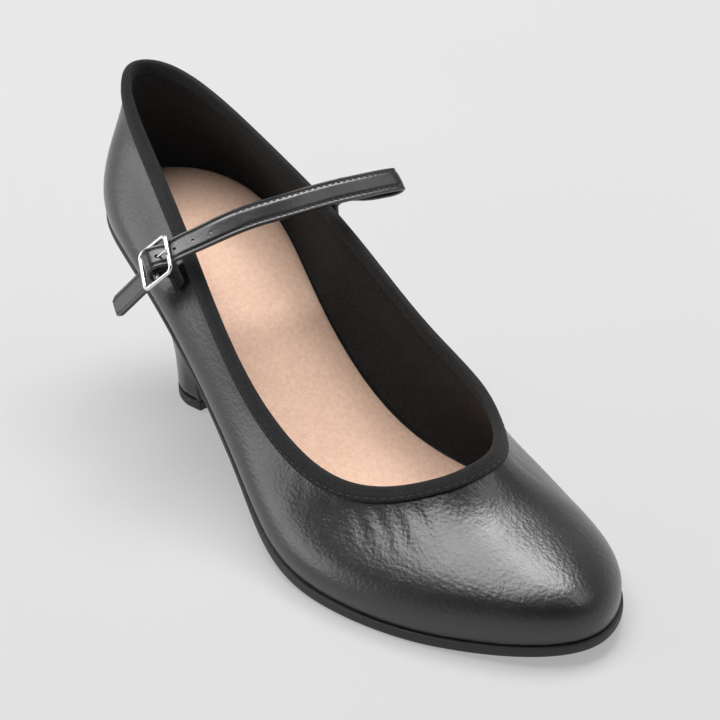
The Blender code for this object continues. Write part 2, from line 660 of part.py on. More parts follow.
def clear_scene():
    for old in list(bpy.data.objects):
        bpy.data.objects.remove(old, do_unlink=True)


def main():
    clear_scene()
    shoe = bpy.data.collections.new("character_shoe")
    cutters = bpy.data.collections.new("cutters")
    for collection in (shoe, cutters):
        bpy.context.scene.collection.children.link(collection)
    leather = finish("upper_leather", (0.018, 0.018, 0.02), 0.38)
    tape = finish("woven_tape", (0.02, 0.02, 0.022), 0.85)
    sole = finish("sole_rubber", (0.012, 0.012, 0.013), 0.6)
    sock = finish("insole_suede", (0.62, 0.42, 0.32), 0.9)
    cover = finish("heel_cover", (0.02, 0.02, 0.022), 0.4)
    strap_leather = finish("strap_leather", (0.015, 0.015, 0.017), 0.25)
    metal = finish("buckle_chrome", (0.86, 0.86, 0.87), 0.12, 1.0)
    last, buckle = Last(COLUMNS), Buckle(BUCKLE_SKEW)
    make_upper(last, leather, shoe)
    make_binding(last, tape, shoe)
    make_outsole(last, sole, shoe)
    make_insole(Last(COLUMNS * 3 // 4), sock, shoe)
    make_heel(last, cover, shoe)
    make_heel_tip(sole, shoe)
    make_strap(last, Buckle(), buckle, strap_leather, shoe, cutters)
    make_chape(last, buckle, tape, shoe, cutters)
    make_buckle_frame(buckle, metal, shoe, cutters)
    make_prong(buckle, metal, shoe)


main()
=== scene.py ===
import math

import bmesh
import bpy
import numpy as np
from mathutils import Matrix, Vector
from mathutils.bvhtree import BVHTree


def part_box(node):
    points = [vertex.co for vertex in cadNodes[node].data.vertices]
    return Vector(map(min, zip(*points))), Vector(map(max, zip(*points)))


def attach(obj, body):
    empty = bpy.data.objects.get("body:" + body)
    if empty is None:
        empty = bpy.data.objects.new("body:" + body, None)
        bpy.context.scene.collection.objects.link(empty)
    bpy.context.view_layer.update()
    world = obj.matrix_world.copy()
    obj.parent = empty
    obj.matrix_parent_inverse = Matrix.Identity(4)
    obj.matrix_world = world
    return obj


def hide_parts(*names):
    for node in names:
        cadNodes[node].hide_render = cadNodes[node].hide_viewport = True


mm = 0.001

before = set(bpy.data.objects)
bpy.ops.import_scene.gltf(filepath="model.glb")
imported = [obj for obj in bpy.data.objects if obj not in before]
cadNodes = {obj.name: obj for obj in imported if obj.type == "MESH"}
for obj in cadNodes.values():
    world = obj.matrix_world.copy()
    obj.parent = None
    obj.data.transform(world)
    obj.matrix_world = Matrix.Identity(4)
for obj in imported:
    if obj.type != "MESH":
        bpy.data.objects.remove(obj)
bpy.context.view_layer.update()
scene = bpy.context.scene
scene.view_settings.view_transform = "Standard"


def deselectAll():
    if bpy.context.object and bpy.context.object.mode != "OBJECT":
        bpy.ops.object.mode_set(mode="OBJECT")
    bpy.ops.object.select_all(action="DESELECT")


def selectOnly(obj):
    deselectAll()
    obj.select_set(True)
    bpy.context.view_layer.objects.active = obj


def editStart(obj, selected="DESELECT", mode="VERT"):
    selectOnly(obj)
    bpy.ops.object.mode_set(mode="EDIT")
    bpy.ops.mesh.select_mode(type=mode)
    bpy.ops.mesh.select_all(action=selected)


def editEnd():
    bpy.ops.object.mode_set(mode="OBJECT")


def applyModifier(obj, kind, **settings):
    selectOnly(obj)
    added = obj.modifiers.new(kind.lower(), kind)
    for key, value in settings.items():
        setattr(added, key, value)
    bpy.ops.object.modifier_apply(modifier=added.name)


def settlePlace(obj):
    # the piece's place goes into its mesh
    selectOnly(obj)
    bpy.ops.object.transform_apply(location=True, rotation=True, scale=True)


def copyOfNode(nodeName, pieceName, mergeAt=0.01 * mm):
    # a CAD node's surface as merged quads, to build on
    piece = bpy.data.objects.new(pieceName, cadNodes[nodeName].data.copy())
    scene.collection.objects.link(piece)
    piece.data.materials.clear()
    editStart(piece, "SELECT")
    bpy.ops.mesh.remove_doubles(threshold=mergeAt)
    bpy.ops.mesh.tris_convert_to_quads(face_threshold=math.radians(60),
                                       shape_threshold=math.radians(180))
    editEnd()
    return piece


def keepSharp(obj, angle=50, value=1.0):
    # edges sharper than this stay crisp when the piece is subdivided
    editStart(obj, mode="EDGE")
    bpy.ops.mesh.edges_select_sharp(sharpness=math.radians(angle))
    bpy.ops.transform.edge_crease(value=value)
    editEnd()


def smoothShade(obj, angle=None):
    selectOnly(obj)
    if angle is None:
        bpy.ops.object.shade_smooth()
    else:
        bpy.ops.object.shade_smooth_by_angle(angle=math.radians(angle))


def joinAll(pieces, name):
    selectOnly(pieces[0])
    for piece in pieces[1:]:
        piece.select_set(True)
    if len(pieces) > 1:
        bpy.ops.object.join()
    joined = bpy.context.object
    joined.name = name
    return joined


def vertexArrays(obj):
    count = len(obj.data.vertices)
    co, normal = np.zeros(count * 3), np.zeros(count * 3)
    obj.data.vertices.foreach_get("co", co)
    obj.data.vertices.foreach_get("normal", normal)
    return co.reshape(-1, 3), normal.reshape(-1, 3)


def moveVertices(obj, co):
    obj.data.vertices.foreach_set("co", co.ravel())
    obj.data.update()


def smoothStep(value, low, high):
    share = np.clip((value - low) / (high - low), 0.0, 1.0)
    return share * share * (3 - 2 * share)


def surfaceOf(obj):
    return BVHTree.FromPolygons([v.co[:] for v in obj.data.vertices],
                                [p.vertices[:] for p in obj.data.polygons])


class Nodes:
    # a short way to wire one material
    def __init__(self, name):
        self.material = bpy.data.materials.new(name)
        self.material.use_nodes = True
        self.tree = self.material.node_tree
        self.shader = self.tree.nodes["Principled BSDF"]
        self.place = self.tree.nodes.new("ShaderNodeTexCoord").outputs["Object"]

    def add(self, kind, inputs=None, **settings):
        made = self.tree.nodes.new("ShaderNode" + kind)
        for key, value in settings.items():
            setattr(made, key, value)
        for key, value in (inputs or {}).items():
            self.feed(made.inputs[key], value)
        return made

    def feed(self, socket, value):
        if isinstance(value, bpy.types.NodeSocket):
            self.tree.links.new(value, socket)
        else:
            socket.default_value = value

    def set(self, **inputs):
        for key, value in inputs.items():
            self.feed(self.shader.inputs[key.replace("_", " ")], value)

    def noise(self, scale, detail=3.0, rough=0.55, vector=None, distortion=0.0):
        return self.add("TexNoise", {"Vector": vector or self.place, "Scale": scale, "Detail": detail,
                                     "Roughness": rough, "Distortion": distortion}).outputs["Fac"]

    def cells(self, scale, vector, smooth):
        return self.add("TexVoronoi", {"Vector": vector, "Scale": scale, "Smoothness": smooth},
                        feature="SMOOTH_F1").outputs["Distance"]

    def math(self, operation, first, second=0.0):
        return self.add("Math", {0: first, 1: second}, operation=operation).outputs[0]

    def span(self, value, low, high, toLow, toHigh):
        return self.add("MapRange", {"Value": value, "From Min": low, "From Max": high,
                                     "To Min": toLow, "To Max": toHigh}).outputs["Result"]

    def mix(self, factor, first, second):
        node = self.add("Mix", data_type="RGBA")
        self.feed(node.inputs[0], factor)
        self.feed(node.inputs[6], first)
        self.feed(node.inputs[7], second)
        return node.outputs[2]

    def bump(self, height, distance, strength=1.0, normal=None):
        inputs = {"Height": height, "Distance": distance, "Strength": strength}
        if normal is not None:
            inputs["Normal"] = normal
        return self.add("Bump", inputs).outputs["Normal"]

    def stretch(self, scale, vector=None, rotation=(0, 0, 0)):
        node = self.add("Mapping", {"Vector": vector or self.place, "Scale": scale, "Rotation": rotation})
        return node.outputs["Vector"]

    def uv(self, name):
        return self.add("UVMap", uv_map=name).outputs["UV"]

    def warp(self, scale, amount):
        # a small wander, so that cells don't look drawn by compass
        wander = self.add("TexNoise", {"Vector": self.place, "Scale": scale, "Detail": 1.0}).outputs["Color"]
        away = self.add("VectorMath", {0: wander, 1: (0.5, 0.5, 0.5)}, operation="SUBTRACT").outputs[0]
        return self.add("VectorMath", {0: away, "Scale": 2 * amount}, operation="SCALE").outputs[0]

    def fanCreases(self, around):
        # fine lines that fan out from the throat, as the leather is drawn over the last
        split = self.add("SeparateXYZ", {"Vector": self.place})
        x = self.math("SUBTRACT", split.outputs[0], around["centre"][0] * mm)
        y = self.math("SUBTRACT", split.outputs[1], around["centre"][1] * mm)
        turn = self.math("ARCTAN2", x, self.math("MULTIPLY", y, -1.0))
        reach = self.math("SQRT", self.math("ADD", self.math("POWER", x, 2.0), self.math("POWER", y, 2.0)))
        polar = self.add("CombineXYZ", {0: self.math("MULTIPLY", turn, around["lines"]),
                                        1: self.math("MULTIPLY", reach, around["wander"])}).outputs[0]
        lines = self.add("TexNoise", {"Vector": polar, "Scale": 1.0, "Detail": 2.0, "Roughness": 0.45,
                                      "Distortion": 0.4}).outputs["Fac"]
        low, full, fade, end = (value * mm for value in around["reach"])
        near = self.math("MULTIPLY", self.span(reach, low, full, 0.0, 1.0),
                         self.span(reach, fade, end, 1.0, 0.0))
        return self.math("MULTIPLY", lines, near)


def grey(value, warm=0.0):
    return (value * (1 + warm), value, value * (1 - warm * 0.6), 1.0)


def leatherFinish(name, colour=0.004, rough=(0.29, 0.38), grain=0.062, coat=0.45, around=None):
    # semi-gloss black leather: small uneven pebbles over soft wrinkles, and fine pores
    m = Nodes(name)
    wrinkle = m.noise(150, 2.0, 0.5, distortion=0.5)
    drawn = m.stretch((1, 0.8, 1), m.add("VectorMath", {0: m.place, 1: m.warp(420, 0.5 * mm)}).outputs[0])
    pebbles = m.cells(900, vector=drawn, smooth=0.7)
    small = m.cells(1700, vector=drawn, smooth=0.6)
    pores = m.noise(3600, 2.0, 0.6)
    normal = m.bump(wrinkle, 0.08 * mm)
    if around:
        normal = m.bump(m.fanCreases(around), around["depth"] * mm, normal=normal)
    normal = m.bump(pebbles, grain * mm, normal=normal)
    normal = m.bump(small, 0.4 * grain * mm, normal=normal)
    normal = m.bump(pores, 0.010 * mm, normal=normal)
    patches = m.noise(42, 3.0, 0.6)
    dusty = m.span(m.noise(900, 4.0, 0.7), 0.62, 0.8, 0.0, 0.35)
    base = m.mix(m.span(patches, 0.35, 0.7, 0.0, 1.0), grey(colour), grey(colour * 1.7, -0.03))
    m.set(Base_Color=m.mix(dusty, base, grey(0.018)), Roughness=m.span(patches, 0.3, 0.7, *rough),
          Normal=normal, Specular_IOR_Level=0.65, Coat_Weight=coat, Coat_Roughness=0.27, Coat_Normal=normal)
    return m.material


def wovenFinish(name, colour=0.02, period=0.62, depth=0.16, uvName=None, fuzz=0.25):
    # crossing threads; the piece's own length map keeps them square to its edges
    m = Nodes(name)
    if uvName:
        split = m.add("SeparateXYZ", {"Vector": m.uv(uvName)})
        along, across = split.outputs[0], split.outputs[1]
    else:
        split = m.add("SeparateXYZ", {"Vector": m.place})
        along = m.math("ADD", split.outputs[0], split.outputs[1])
        across = split.outputs[2]
    turns = 2 * math.pi / (period * mm)
    warp = m.math("SINE", m.math("MULTIPLY", along, turns))
    weft = m.math("SINE", m.math("MULTIPLY", across, turns * 0.8))
    threads = m.math("MULTIPLY", warp, weft)
    hairs = m.noise(1900, 4.0, 0.7)
    height = m.math("ADD", threads, m.math("MULTIPLY", hairs, 2.2))
    patches = m.noise(160, 4.0, 0.65)
    m.set(Base_Color=m.mix(m.span(hairs, 0.3, 0.72, 0.0, 1.0), grey(colour * 0.55), grey(colour * 1.7)),
          Roughness=m.span(patches, 0.3, 0.7, 0.78, 0.95), Normal=m.bump(height, depth * mm),
          Sheen_Weight=fuzz, Sheen_Roughness=0.5, Specular_IOR_Level=0.25)
    return m.material


def suedeFinish(name):
    # rose-beige microfibre, with a nap that turns in patches
    m = Nodes(name)
    split = m.add("SeparateXYZ", {"Vector": m.place})
    nap = m.noise(95, 4.0, 0.6, distortion=0.4)
    fibres = m.noise(1500, 5.0, 0.75, vector=m.stretch((1, 0.45, 1)))
    # painted shade: the sock is mixed a little darker towards the heel, where the counter shades the heel seat
    heelward = m.span(split.outputs[1], -0.09, 0.03, 0.0, 1.0)
    light, deep = (0.97, 0.655, 0.495, 1.0), (0.90, 0.585, 0.43, 1.0)
    base = m.mix(m.span(nap, 0.3, 0.72, 0.0, 1.0), light, deep)
    base = m.mix(m.math("MULTIPLY", heelward, 0.25), base, (0.92, 0.59, 0.44, 1.0))
    specks = m.noise(620, 3.0, 0.7)
    base = m.mix(m.span(specks, 0.38, 0.64, 0.55, 0.0), base, (0.74, 0.44, 0.31, 1.0))
    base = m.mix(m.span(fibres, 0.32, 0.7, 0.0, 0.45), base, (1.0, 0.76, 0.61, 1.0))
    m.set(Base_Color=base, Roughness=0.92, Sheen_Weight=0.12, Sheen_Roughness=0.45,
          Specular_IOR_Level=0.2, Normal=m.bump(specks, 0.16 * mm, normal=m.bump(fibres, 0.12 * mm)))
    return m.material


def rubberFinish(name, colour=0.016, rough=(0.42, 0.58), grain=1500, depth=0.05, specks=0.0):
    m = Nodes(name)
    fine = m.noise(grain, 3.0, 0.6)
    wide = m.noise(120, 3.0, 0.6)
    base = m.mix(m.span(wide, 0.3, 0.7, 0.0, 1.0), grey(colour), grey(colour * 1.6))
    if specks:
        base = m.mix(m.span(m.noise(1100, 1.0, 0.4), 0.66, 0.72, 0.0, specks), base, grey(0.16))
    m.set(Base_Color=base, Roughness=m.span(wide, 0.3, 0.7, *rough), Normal=m.bump(fine, depth * mm))
    return m.material


def treadFinish(name):
    # the sole's underside: a low grid of pips, scuffed a little in streaks all over
    m = Nodes(name)
    split = m.add("SeparateXYZ", {"Vector": m.stretch((1, 1, 1), rotation=(0, 0, math.radians(45)))})
    turns = 2 * math.pi / (2.4 * mm)
    first = m.math("SINE", m.math("MULTIPLY", split.outputs[0], turns))
    second = m.math("SINE", m.math("MULTIPLY", split.outputs[1], turns))
    pips = m.span(m.math("MULTIPLY", first, second), 0.1, 0.5, 0.0, 1.0)
    fine = m.noise(900, 4.0, 0.65)
    scuff = m.noise(210, 5.0, 0.7, vector=m.stretch((1, 0.3, 1)))
    normal = m.bump(fine, 0.05 * mm, normal=m.bump(pips, 0.22 * mm))
    m.set(Base_Color=m.mix(m.span(scuff, 0.45, 0.75, 0.0, 1.0), grey(0.017), grey(0.042)),
          Roughness=m.span(scuff, 0.4, 0.7, 0.5, 0.75), Normal=normal)
    return m.material


def metalFinish(name):
    m = Nodes(name)
    fine = m.noise(2400, 3.0, 0.6, vector=m.stretch((1, 1, 0.3)))
    wide = m.noise(420, 3.0, 0.5)
    silver, bright = (0.66, 0.66, 0.67, 1.0), (0.78, 0.78, 0.78, 1.0)
    m.set(Base_Color=m.mix(m.span(wide, 0.3, 0.7, 0.0, 1.0), silver, bright), Metallic=1.0,
          Roughness=m.span(wide, 0.3, 0.7, 0.2, 0.32), Normal=m.bump(fine, 0.012 * mm))
    return m.material


def threadFinish(name, colour=0.03):
    m = Nodes(name)
    twist = m.noise(5200, 2.0, 0.6)
    m.set(Base_Color=m.mix(m.span(twist, 0.35, 0.65, 0.0, 1.0), grey(colour * 0.6), grey(colour * 1.8)),
          Roughness=0.62, Sheen_Weight=0.3, Normal=m.bump(twist, 0.05 * mm))
    return m.material


def floorFinish(name):
    m = Nodes(name)
    wide = m.noise(3.0, 2.0, 0.5)
    dull, pale = (0.30, 0.295, 0.30, 1.0), (0.32, 0.315, 0.32, 1.0)
    m.set(Base_Color=m.mix(m.span(wide, 0.3, 0.7, 0.0, 1.0), dull, pale), Roughness=0.9,
          Specular_IOR_Level=0.1, Emission_Color=(1.0, 0.985, 0.995, 1.0), Emission_Strength=0.36)
    return m.material


stitch = {"length": 1.7, "radius": 0.17, "sides": 6, "rings": 4}


def oneStitch(name, length, radius):
    # one short stitch: a small ball drawn out along X and flattened where it dives into the leather
    deselectAll()
    bpy.ops.mesh.primitive_uv_sphere_add(segments=stitch["sides"], ring_count=stitch["rings"], radius=radius)
    made = bpy.context.object
    made.name = name
    made.rotation_euler = (0, math.radians(90), 0)
    settlePlace(made)
    made.scale = (0.5 * length / radius, 1.0, 0.8)
    settlePlace(made)
    return made


def stitchRow(name, points, ups, material, length=None, radius=None, every=2.4):
    # copies of one stitch laid end to end along a run of points, each with its own mesh
    length = (length or stitch["length"]) * mm
    radius = (radius or stitch["radius"]) * mm
    points, ups = np.array(points), np.array(ups)
    lengths = np.append(0.0, np.cumsum(np.linalg.norm(np.diff(points, axis=0), axis=1)))
    count = max(1, int(lengths[-1] / (every * mm)))
    model = oneStitch(name + "Model", length, radius)
    copies = []
    for number in range(count):
        at = (number + 0.5) * lengths[-1] / count
        here, before, after = (Vector([np.interp(where, lengths, points[:, axis]) for axis in range(3)])
                               for where in (at, at - 0.5 * length, at + 0.5 * length))
        up = Vector([np.interp(at, lengths, ups[:, axis]) for axis in range(3)])
        along = (after - before).normalized()
        side = up.cross(along).normalized()
        up = along.cross(side)
        turned = Matrix((along, side, up)).transposed().to_4x4()
        turned.translation = here
        copied = bpy.data.objects.new(f"{name}{number}", model.data.copy())
        copied.data.transform(turned)
        scene.collection.objects.link(copied)
        copies.append(copied)
    bpy.data.objects.remove(model)
    row = joinAll(copies, name)
    row.data.materials.clear()
    row.data.materials.append(material)
    smoothShade(row)
    return row


class Path:
    # the centre, width direction and face direction of a CAD band, read from three of its long edges.
    # It ends at the corner nearest the given point, and starts at the band's other end.
    def __init__(self, nodeName, endNear):
        mesh = bmesh.new()
        mesh.from_mesh(cadNodes[nodeName].data)
        bmesh.ops.remove_doubles(mesh, verts=mesh.verts, dist=0.01 * mm)
        sharp = {}
        for edge in mesh.edges:
            if len(edge.link_faces) == 2 and edge.calc_face_angle() > math.radians(52):
                for vert in edge.verts:
                    sharp.setdefault(vert, []).append(edge)
        corners = [vert for vert, edges in sharp.items() if len(edges) == 3]
        first = min(corners, key=lambda vert: (vert.co - Vector(endNear)).length)
        near = self.neighbours(first, sharp)
        wide = near[-1]
        thin = [vert for vert in near[:-1] if len(sharp[vert]) == 3][0]
        far = self.neighbours(thin, sharp)[-1]
        rails = [self.rail(vert, sharp, {first, thin, wide, far}) for vert in (first, wide, thin)]
        shortest = min(len(rail) for rail in rails)
        outer, opposite, under = np.array([rail[:shortest][::-1] for rail in rails])
        centre = 0.5 * (opposite + under)
        across = outer - opposite
        face = outer - under
        middle = shortest // 2
        if face[middle][2] < 0:
            face = -face
        mesh.free()
        self.centre = centre
        self.across = across / np.linalg.norm(across, axis=1, keepdims=True)
        self.face = face / np.linalg.norm(face, axis=1, keepdims=True)
        self.lengths = np.append(0.0, np.cumsum(np.linalg.norm(np.diff(centre, axis=0), axis=1)))
        self.total = self.lengths[-1]

    @staticmethod
    def neighbours(vert, sharp):
        ends = [edge.other_vert(vert) for edge in sharp[vert]]
        return sorted(ends, key=lambda end: (end.co - vert.co).length)

    @staticmethod
    def rail(start, sharp, cap):
        # follows the edge that goes straightest on, to the band's far end
        run, vert, came, heading = [start.co[:]], start, None, None
        while True:
            onward = [e for e in sharp[vert] if e is not came and e.other_vert(vert) not in cap]
            if heading is not None:
                turns = {e: heading.angle(e.other_vert(vert).co - vert.co) for e in onward}
                onward = sorted((e for e in onward if turns[e] < math.radians(65)), key=turns.get)
            if not onward:
                return run
            came = onward[0]
            heading = came.other_vert(vert).co - vert.co
            vert = came.other_vert(vert)
            run.append(vert.co[:])

    def smoothed(self, values, at):
        # a cubic through the rows, so that the bends stay round
        at = np.clip(at, 0.0, self.total)
        slopes = np.gradient(values, self.lengths, axis=0)
        low = np.clip(np.searchsorted(self.lengths, at, side="right") - 1, 0, len(self.lengths) - 2)
        span = (self.lengths[low + 1] - self.lengths[low])[:, None]
        t = ((at - self.lengths[low])[:, None]) / span
        return ((2 * t ** 3 - 3 * t ** 2 + 1) * values[low] + (t ** 3 - 2 * t ** 2 + t) * span * slopes[low]
                + (3 * t ** 2 - 2 * t ** 3) * values[low + 1] + (t ** 3 - t ** 2) * span * slopes[low + 1])

    def lay(self, flat):
        # flat points: X along the band, Y across it, Z off its face
        flat = np.asarray(flat, float)
        centre = self.smoothed(self.centre, flat[:, 0])
        across = self.smoothed(self.across, flat[:, 0])
        face = self.smoothed(self.face, flat[:, 0])
        across /= np.linalg.norm(across, axis=1, keepdims=True)
        face -= across * (face * across).sum(axis=1, keepdims=True)
        face /= np.linalg.norm(face, axis=1, keepdims=True)
        return centre + across * flat[:, 1:2] + face * flat[:, 2:3]

    def nearest(self, point):
        at = np.linspace(0.0, self.total, 800)
        distances = np.linalg.norm(self.smoothed(self.centre, at) - np.array(point), axis=1)
        return at[distances.argmin()]


def layFlatPiece(obj, path):
    co, _ = vertexArrays(obj)
    moveVertices(obj, path.lay(co))
    editStart(obj, "SELECT")
    bpy.ops.mesh.normals_make_consistent(inside=False)
    editEnd()


def flatBand(name, length, width, thickness, stepsAlong, stepsAcross):
    # a strip of hide lying flat, from X = 0, with its middle on Z = 0
    deselectAll()
    bpy.ops.mesh.primitive_grid_add(x_subdivisions=stepsAlong, y_subdivisions=stepsAcross, size=1.0,
                                    location=(0.5, 0, 0))
    band = bpy.context.object
    band.name = name
    settlePlace(band)
    band.scale = (length, width, 1.0)
    settlePlace(band)
    applyModifier(band, "SOLIDIFY", thickness=thickness, offset=0.0)
    return band


def punch(band, places, radius, depth, sides=20):
    # round holes through a flat band
    for x, y in places:
        deselectAll()
        bpy.ops.mesh.primitive_cylinder_add(vertices=sides, radius=radius, depth=depth, location=(x, y, 0))
        cutter = bpy.context.object
        applyModifier(band, "BOOLEAN", operation="DIFFERENCE", object=cutter, solver="EXACT")
        bpy.data.objects.remove(cutter)


upperLook = {
    "levels": 2, "creaseShare": 0.36,
    # soft creases on the vamp and quarters: (x, y) mm from and to, depth mm, half width mm, bow mm
    "creases": [
        ((-24.5, -118.0), (-30.0, -131.0), 0.22, 1.3, 1.0),
        ((-21.5, -123.5), (-26.0, -139.0), 0.26, 1.3, 1.2),
        ((-17.5, -128.0), (-21.5, -145.5), 0.20, 1.2, -0.8),
        ((-14.0, -131.5), (-16.0, -147.0), 0.24, 1.3, 1.0),
        ((-9.0, -134.5), (-10.5, -152.0), 0.18, 1.4, -1.0),
        ((-3.0, -137.0), (-4.5, -150.0), 0.14, 1.5, 0.8),
        ((5.0, -138.5), (6.5, -151.0), 0.13, 1.5, 0.8),
        ((14.0, -137.0), (18.5, -149.0), 0.14, 1.4, -0.8),
        ((21.0, -131.0), (28.0, -142.0), 0.16, 1.4, 0.8),
        ((26.5, -123.0), (34.5, -131.0), 0.16, 1.3, 0.8),
        ((-27.5, -110.0), (-35.0, -120.0), 0.16, 1.4, 0.9),
        ((-29.0, -100.0), (-37.0, -106.0), 0.12, 1.4, 0.8),
    ],
    # low swells that break up the vamp's highlight: (x, y) mm, height mm, half width mm
    "swells": [
        ((-6, -158), 0.22, 9), ((9, -150), -0.18, 8), ((17, -163), 0.20, 9), ((2, -170), -0.15, 8),
        ((-20, -150), 0.18, 8), ((28, -148), 0.16, 9), ((-30, -135), -0.14, 9),
    ],
    "seamDepth": 0.35, "seamWidth": 0.55,
}

# the seam between vamp and quarter on the inner side, as heights at places along the shoe, mm
quarterSeam = {"line": [(-91.0, 43.5), (-88.8, 39.3), (-85.0, 32.7), (-79.1, 24.4), (-75.0, 18.0)],
               "stitchGap": 1.5, "side": 60.0, "step": 0.22, "stepReach": 9.0}


def creaseHeights(co, look):
    # how far each vertex of the vamp rises or sinks, from places seen from above
    x, y = co[:, 0] / mm, co[:, 1] / mm
    rise = np.zeros(len(co))
    for start, end, depth, width, bow in look["creases"]:
        depth *= look["creaseShare"]
        start, end = np.array(start), np.array(end)
        run = end - start
        length = np.linalg.norm(run)
        run = run / length
        side = np.array([-run[1], run[0]])
        along = (x - start[0]) * run[0] + (y - start[1]) * run[1]
        off = (x - start[0]) * side[0] + (y - start[1]) * side[1]
        share = along / length
        off = off - bow * 4 * share * (1 - share)
        taper = smoothStep(along, -1.5, 3.0) * (1 - smoothStep(along, 0.55 * length, length + 1.0))
        trough = -np.exp(-(off / width) ** 2) + 0.55 * np.exp(-((np.abs(off) - 2.1 * width) / width) ** 2)
        rise += depth * taper * trough
    for centre, height, width in look["swells"]:
        rise += height * np.exp(-((x - centre[0]) ** 2 + (y - centre[1]) ** 2) / width ** 2)
    return rise * mm


def seamHeights(co):
    # the groove of the inner quarter seam: the quarter's edge lies on the vamp
    line = np.array(quarterSeam["line"]) * mm
    best = np.full(len(co), 1.0)
    ahead = np.zeros(len(co))
    for low, high in zip(line[:-1], line[1:]):
        run = high - low
        share = np.clip(((co[:, 1:] - low) @ run) / (run @ run), 0, 1)
        gap = co[:, 1:] - (low + share[:, None] * run)
        distance = np.linalg.norm(gap, axis=1)
        closer = distance < best
        best[closer] = distance[closer]
        ahead[closer] = np.sign(gap[closer, 0])
    return best, ahead


def makeUpper():
    piece = copyOfNode("upper", "upperLeather")
    keepSharp(piece)
    applyModifier(piece, "SUBSURF", levels=upperLook["levels"], render_levels=upperLook["levels"])
    # the outside is everything that joins smoothly to the face furthest out
    editStart(piece, mode="FACE")
    mesh = bmesh.from_edit_mesh(piece.data)
    mesh.faces.ensure_lookup_table()
    seed = min(mesh.faces, key=lambda face: face.calc_center_median().y)
    seed.select = True
    mesh.faces.active = seed
    bmesh.update_edit_mesh(piece.data)
    bpy.ops.mesh.faces_select_linked_flat(sharpness=math.radians(40))
    editEnd()
    outsideFaces = [p.index for p in piece.data.polygons if p.select]
    piece.data.materials.append(leather)
    piece.data.materials.append(lining)
    outside = np.zeros(len(piece.data.vertices), bool)
    for polygon in piece.data.polygons:
        polygon.material_index = 0 if polygon.select else 1
    for index in outsideFaces:
        outside[list(piece.data.polygons[index].vertices)] = True
    co, normal = vertexArrays(piece)
    facingUp = smoothStep(normal[:, 2], 0.15, 0.5)
    lift = creaseHeights(co, upperLook) * facingUp * outside
    gap, ahead = seamHeights(co)
    medial = outside & (normal[:, 0] > 0.3)
    groove = -upperLook["seamDepth"] * mm * np.exp(-(gap / (upperLook["seamWidth"] * mm)) ** 2)
    near = 1 - smoothStep(gap, 0.0, quarterSeam["stepReach"] * mm)
    step = quarterSeam["step"] * mm * (ahead > 0) * near
    lift += (groove + step) * medial
    moveVertices(piece, co + normal * lift[:, None])
    smoothShade(piece, 45)
    print("upper:", len(outsideFaces), "outside faces")
    return piece


tapeLook = {"levels": 2, "thickness": 0.7,
            "stitchUp": 1.15, "stitchEvery": 2.7, "stitchLength": 1.5, "stitchRadius": 0.13}


def ringsOf(obj, startVertex):
    # the rings of a closed quad band: walks one way round, then steps to the next ring
    mesh = bmesh.new()
    mesh.from_mesh(obj.data)
    mesh.verts.ensure_lookup_table()
    first = mesh.verts[startVertex]

    def onward(vert, came):
        return [e for e in vert.link_edges if e is not came and not set(e.link_faces) & set(came.link_faces)][0]

    def walk(vert, edge):
        run = [vert]
        while True:
            vert = edge.other_vert(vert)
            if vert is run[0]:
                return run
            run.append(vert)
            edge = onward(vert, edge)

    loops = [walk(first, edge) for edge in first.link_edges]
    around = max(loops, key=len)
    section = min(loops, key=len)
    aroundEdge = [e for e in first.link_edges if e.other_vert(first) is around[1]][0]
    rings = []
    vert, edge = first, aroundEdge
    for number in range(len(section)):
        run = walk(vert, edge)
        rings.append([v.index for v in run])
        if number + 1 < len(section):
            nextVert = section[number + 1]
            ahead = edge.other_vert(vert)
            shared = [f for f in edge.link_faces if nextVert in f.verts][0]
            fourth = [v for v in shared.verts if v not in (vert, ahead, nextVert)][0]
            edge = [e for e in nextVert.link_edges if e.other_vert(nextVert) is fourth][0]
            vert = nextVert
    mesh.free()
    return rings


def makeTape():
    piece = copyOfNode("topline_binding", "toplineTape")
    co, _ = vertexArrays(piece)
    back = int(np.argmax(co[:, 1] + 0.001 * co[:, 2]))
    rings = np.array(ringsOf(piece, back))
    points = co[rings]
    # the highest ring is the tape's ridge
    ridge = int(points[:, :, 2].mean(axis=1).argmax())
    along = np.linalg.norm(np.roll(points[ridge], -1, axis=0) - points[ridge], axis=1)
    along = np.append(0.0, np.cumsum(along))
    across = np.linalg.norm(np.diff(points, axis=0), axis=2).mean(axis=1)
    across = np.append(0.0, np.cumsum(across))
    column = {int(v): c for ring in rings for c, v in enumerate(ring)}
    row = {int(v): r for r, ring in enumerate(rings) for v in ring}
    layer = piece.data.uv_layers.new(name="along")
    columns, rows = points.shape[1], points.shape[0]
    for polygon in piece.data.polygons:
        cols = [column[v] for v in polygon.vertices]
        lines = [row[v] for v in polygon.vertices]
        for loop, c, r in zip(polygon.loop_indices, cols, lines):
            c = c + columns if c == 0 and max(cols) == columns - 1 else c
            down = across[r]
            if r == 0 and max(lines) == rows - 1:
                down = across[-1] + tapeLook["thickness"] * mm
            layer.data[loop].uv = (along[c], down)
    for other in [l for l in piece.data.uv_layers if l.name != "along"]:
        piece.data.uv_layers.remove(other)
    applyModifier(piece, "SUBSURF", levels=tapeLook["levels"], render_levels=tapeLook["levels"])
    piece.data.materials.append(tape)
    smoothShade(piece)
    print("tape:", rows, "rings of", columns, "points")
    return piece, points


